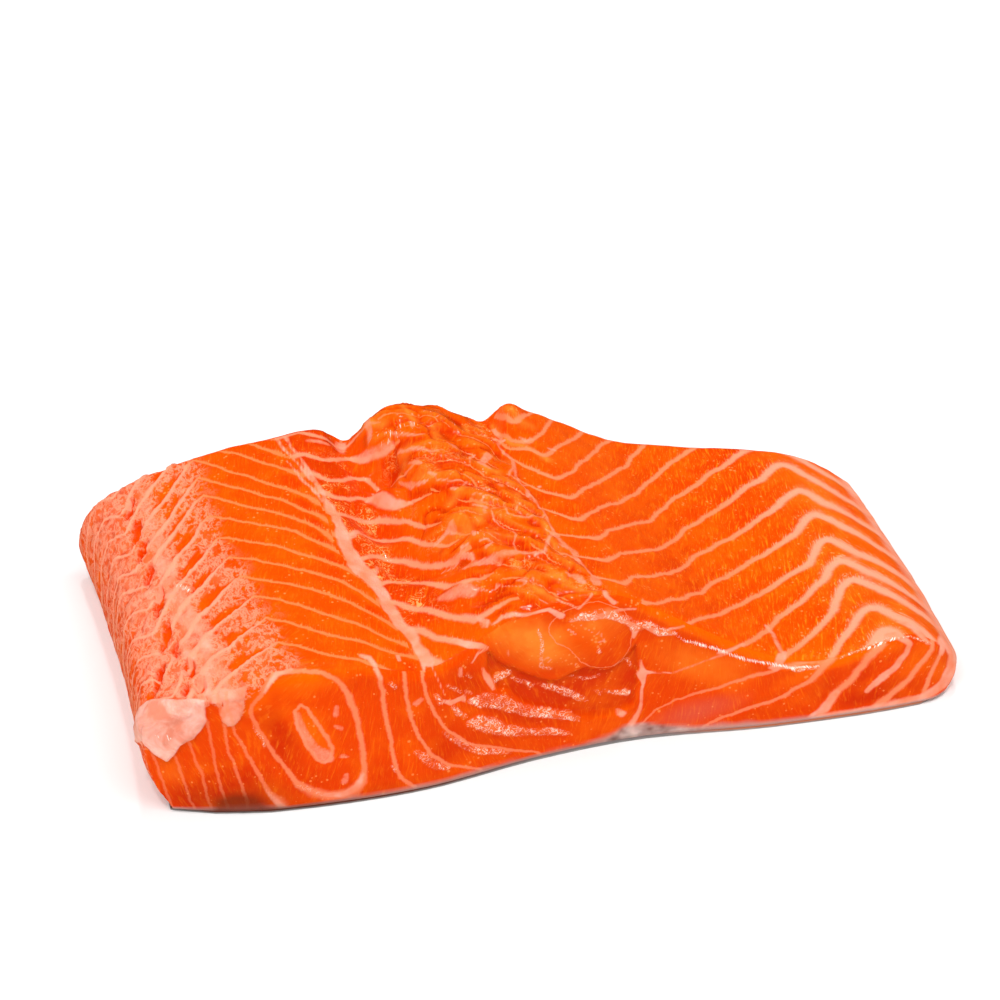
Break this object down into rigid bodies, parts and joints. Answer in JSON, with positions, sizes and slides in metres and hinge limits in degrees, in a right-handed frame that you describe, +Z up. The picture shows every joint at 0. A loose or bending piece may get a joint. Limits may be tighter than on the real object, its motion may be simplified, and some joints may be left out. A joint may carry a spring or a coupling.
{
  "type": "raw salmon fillet portion",
  "caption": "Raw skin-on salmon fillet portion, cut square across the fish, thick at the back muscle and tapering to a thin belly edge, lying skin side down.",
  "frame": {"origin": "under the middle of the portion, on the surface it lies on", "axes": "+X across the fish from the back muscle to the belly edge, +Y along the fish from the cut in front to the cut behind, +Z up"},
  "size_m": [0.157, 0.081, 0.0361],
  "materials": {
    "salmon_flesh": "wet raw flesh, orange with pale fat lines",
    "salmon_skin": "wet silvery grey skin"
  },
  "bodies": {
    "root": {"flesh": "salmon_flesh", "skin": "salmon_skin"}
  },
  "joints": []
}
